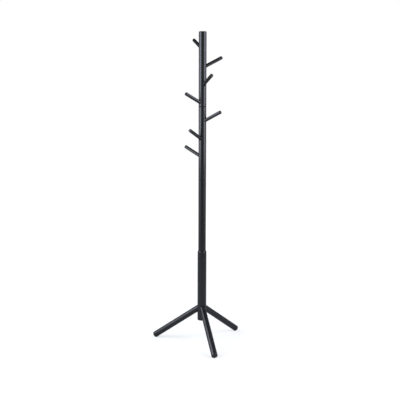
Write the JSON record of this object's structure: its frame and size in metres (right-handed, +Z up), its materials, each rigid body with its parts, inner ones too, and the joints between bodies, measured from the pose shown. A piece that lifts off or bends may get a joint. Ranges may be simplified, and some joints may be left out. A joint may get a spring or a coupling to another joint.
{
  "type": "coat rack",
  "caption": "Free-standing wooden coat rack: a slim round pole of screwed sections on splayed round legs, with angled round pegs that climb its upper half.",
  "frame": {"origin": "on the floor, in the middle of the rectangle that the rack takes up on it; the pole stands 69.3 mm behind it", "axes": "+Z up along the pole, -Y towards the front leg, +X to the right of someone who faces the front leg"},
  "size_m": [0.5216, 0.4563, 1.7622],
  "materials": {
    "painted_wood": "black paint on turned hardwood, satin",
    "bolt_steel": "zinc-plated steel, rolled thread",
    "nut_zinc": "yellow-passivated die-cast zinc",
    "pad_felt": "pressed wool felt"
  },
  "bodies": {
    "pole_base": {"pole_base": "painted_wood"},
    "joint_nut_1": {"joint_nut_1": "nut_zinc"},
    "pole_lower": {"pole_lower": "painted_wood", "joint_bolt_1": "bolt_steel"},
    "joint_nut_2": {"joint_nut_2": "nut_zinc"},
    "pole_upper": {"pole_upper": "painted_wood", "joint_bolt_2": "bolt_steel"},
    "joint_nut_3": {"joint_nut_3": "nut_zinc"},
    "pole_top": {"pole_top": "painted_wood", "joint_bolt_3": "bolt_steel"},
    "leg_nut_1": {"leg_nut_1": "nut_zinc"},
    "leg_1": {"leg_1": "painted_wood", "leg_bolt_1": "bolt_steel", "foot_pad_1": "pad_felt"},
    "leg_nut_2": {"leg_nut_2": "nut_zinc"},
    "leg_2": {"leg_2": "painted_wood", "leg_bolt_2": "bolt_steel", "foot_pad_2": "pad_felt"},
    "leg_nut_3": {"leg_nut_3": "nut_zinc"},
    "leg_3": {"leg_3": "painted_wood", "leg_bolt_3": "bolt_steel", "foot_pad_3": "pad_felt"},
    "peg_nut_1": {"peg_nut_1": "nut_zinc"},
    "peg_1": {"peg_1": "painted_wood", "peg_bolt_1": "bolt_steel"},
    "peg_nut_2": {"peg_nut_2": "nut_zinc"},
    "peg_2": {"peg_2": "painted_wood", "peg_bolt_2": "bolt_steel"},
    "peg_nut_3": {"peg_nut_3": "nut_zinc"},
    "peg_3": {"peg_3": "painted_wood", "peg_bolt_3": "bolt_steel"},
    "peg_nut_4": {"peg_nut_4": "nut_zinc"},
    "peg_4": {"peg_4": "painted_wood", "peg_bolt_4": "bolt_steel"},
    "peg_nut_5": {"peg_nut_5": "nut_zinc"},
    "peg_5": {"peg_5": "painted_wood", "peg_bolt_5": "bolt_steel"},
    "peg_nut_6": {"peg_nut_6": "nut_zinc"},
    "peg_6": {"peg_6": "painted_wood", "peg_bolt_6": "bolt_steel"},
    "peg_nut_7": {"peg_nut_7": "nut_zinc"},
    "peg_7": {"peg_7": "painted_wood", "peg_bolt_7": "bolt_steel"},
    "peg_nut_8": {"peg_nut_8": "nut_zinc"},
    "peg_8": {"peg_8": "painted_wood", "peg_bolt_8": "bolt_steel"}
  },
  "joints": [
    {"name": "pole_lower_unscrew", "type": "hinge", "parent": "pole_base", "child": "joint_nut_1", "pos_m": [0, 0.0693, 0.53823], "axis": [0, 0, 1], "range_deg": [0, 4320]},
    {"name": "pole_lower_travel", "type": "slide", "parent": "joint_nut_1", "child": "pole_lower", "axis": [0, 0, 1], "range_m": [0, 0.015]},
    {"name": "pole_upper_unscrew", "type": "hinge", "parent": "pole_lower", "child": "joint_nut_2", "pos_m": [0, 0.0693, 0.94623], "axis": [0, 0, 1], "range_deg": [0, 4320]},
    {"name": "pole_upper_travel", "type": "slide", "parent": "joint_nut_2", "child": "pole_upper", "axis": [0, 0, 1], "range_m": [0, 0.015]},
    {"name": "pole_top_unscrew", "type": "hinge", "parent": "pole_upper", "child": "joint_nut_3", "pos_m": [0, 0.0693, 1.35423], "axis": [0, 0, 1], "range_deg": [0, 4320]},
    {"name": "pole_top_travel", "type": "slide", "parent": "joint_nut_3", "child": "pole_top", "axis": [0, 0, 1], "range_m": [0, 0.015]},
    {"name": "leg_1_unscrew", "type": "hinge", "parent": "pole_base", "child": "leg_nut_1", "pos_m": [0, 0.05432, 0.20374], "axis": [0, -0.8192, -0.5736], "range_deg": [0, 2160]},
    {"name": "leg_1_travel", "type": "slide", "parent": "leg_nut_1", "child": "leg_1", "axis": [0, -0.8192, -0.5736], "range_m": [0, 0.0075]},
    {"name": "leg_2_unscrew", "type": "hinge", "parent": "pole_base", "child": "leg_nut_2", "pos_m": [0.01298, 0.07679, 0.20374], "axis": [0.7094, 0.4096, -0.5736], "range_deg": [0, 2160]},
    {"name": "leg_2_travel", "type": "slide", "parent": "leg_nut_2", "child": "leg_2", "axis": [0.7094, 0.4096, -0.5736], "range_m": [0, 0.0075]},
    {"name": "leg_3_unscrew", "type": "hinge", "parent": "pole_base", "child": "leg_nut_3", "pos_m": [-0.01298, 0.07679, 0.20374], "axis": [-0.7094, 0.4096, -0.5736], "range_deg": [0, 2160]},
    {"name": "leg_3_travel", "type": "slide", "parent": "leg_nut_3", "child": "leg_3", "axis": [-0.7094, 0.4096, -0.5736], "range_m": [0, 0.0075]},
    {"name": "peg_1_unscrew", "type": "hinge", "parent": "pole_top", "child": "peg_nut_1", "pos_m": [-0.00345, 0.08553, 1.67369], "axis": [-0.1853, 0.8715, 0.454], "range_deg": [0, 2160]},
    {"name": "peg_1_travel", "type": "slide", "parent": "peg_nut_1", "child": "peg_1", "axis": [-0.1853, 0.8715, 0.454], "range_m": [0, 0.006]},
    {"name": "peg_2_unscrew", "type": "hinge", "parent": "pole_top", "child": "peg_nut_2", "pos_m": [0.01656, 0.07046, 1.57469], "axis": [0.8888, 0.0622, 0.454], "range_deg": [0, 2160]},
    {"name": "peg_2_travel", "type": "slide", "parent": "peg_nut_2", "child": "peg_2", "axis": [0.8888, 0.0622, 0.454], "range_m": [0, 0.006]},
    {"name": "peg_3_unscrew", "type": "hinge", "parent": "pole_top", "child": "peg_nut_3", "pos_m": [0.00345, 0.05307, 1.47569], "axis": [0.1853, -0.8715, 0.454], "range_deg": [0, 2160]},
    {"name": "peg_3_travel", "type": "slide", "parent": "peg_nut_3", "child": "peg_3", "axis": [0.1853, -0.8715, 0.454], "range_m": [0, 0.006]},
    {"name": "peg_4_unscrew", "type": "hinge", "parent": "pole_top", "child": "peg_nut_4", "pos_m": [-0.01549, 0.06335, 1.37669], "axis": [-0.8318, -0.3193, 0.454], "range_deg": [0, 2160]},
    {"name": "peg_4_travel", "type": "slide", "parent": "peg_nut_4", "child": "peg_4", "axis": [-0.8318, -0.3193, 0.454], "range_m": [0, 0.006]},
    {"name": "peg_5_unscrew", "type": "hinge", "parent": "pole_upper", "child": "peg_nut_5", "pos_m": [0.01253, 0.05841, 1.27769], "axis": [0.6725, -0.5846, 0.454], "range_deg": [0, 2160]},
    {"name": "peg_5_travel", "type": "slide", "parent": "peg_nut_5", "child": "peg_5", "axis": [0.6725, -0.5846, 0.454], "range_m": [0, 0.006]},
    {"name": "peg_6_unscrew", "type": "hinge", "parent": "pole_upper", "child": "peg_nut_6", "pos_m": [-0.01308, 0.05908, 1.17869], "axis": [-0.7021, -0.5486, 0.454], "range_deg": [0, 2160]},
    {"name": "peg_6_travel", "type": "slide", "parent": "peg_nut_6", "child": "peg_6", "axis": [-0.7021, -0.5486, 0.454], "range_m": [0, 0.006]},
    {"name": "peg_7_unscrew", "type": "hinge", "parent": "pole_upper", "child": "peg_nut_7", "pos_m": [-0.01174, 0.08104, 1.07969], "axis": [-0.63, 0.63, 0.454], "range_deg": [0, 2160]},
    {"name": "peg_7_travel", "type": "slide", "parent": "peg_nut_7", "child": "peg_7", "axis": [-0.63, 0.63, 0.454], "range_m": [0, 0.006]},
    {"name": "peg_8_unscrew", "type": "hinge", "parent": "pole_upper", "child": "peg_nut_8", "pos_m": [0.00402, 0.0854, 0.98068], "axis": [0.2156, 0.8645, 0.454], "range_deg": [0, 2160]},
    {"name": "peg_8_travel", "type": "slide", "parent": "peg_nut_8", "child": "peg_8", "axis": [0.2156, 0.8645, 0.454], "range_m": [0, 0.006]}
  ],
  "couplings": [
    {"joint": "pole_lower_unscrew", "follows": "pole_lower_travel", "rad_per_m": 5026.5},
    {"joint": "pole_upper_unscrew", "follows": "pole_upper_travel", "rad_per_m": 5026.5},
    {"joint": "pole_top_unscrew", "follows": "pole_top_travel", "rad_per_m": 5026.5},
    {"joint": "leg_1_unscrew", "follows": "leg_1_travel", "rad_per_m": 5026.5},
    {"joint": "leg_2_unscrew", "follows": "leg_2_travel", "rad_per_m": 5026.5},
    {"joint": "leg_3_unscrew", "follows": "leg_3_travel", "rad_per_m": 5026.5},
    {"joint": "peg_1_unscrew", "follows": "peg_1_travel", "rad_per_m": 6283.2},
    {"joint": "peg_2_unscrew", "follows": "peg_2_travel", "rad_per_m": 6283.2},
    {"joint": "peg_3_unscrew", "follows": "peg_3_travel", "rad_per_m": 6283.2},
    {"joint": "peg_4_unscrew", "follows": "peg_4_travel", "rad_per_m": 6283.2},
    {"joint": "peg_5_unscrew", "follows": "peg_5_travel", "rad_per_m": 6283.2},
    {"joint": "peg_6_unscrew", "follows": "peg_6_travel", "rad_per_m": 6283.2},
    {"joint": "peg_7_unscrew", "follows": "peg_7_travel", "rad_per_m": 6283.2},
    {"joint": "peg_8_unscrew", "follows": "peg_8_travel", "rad_per_m": 6283.2}
  ]
}
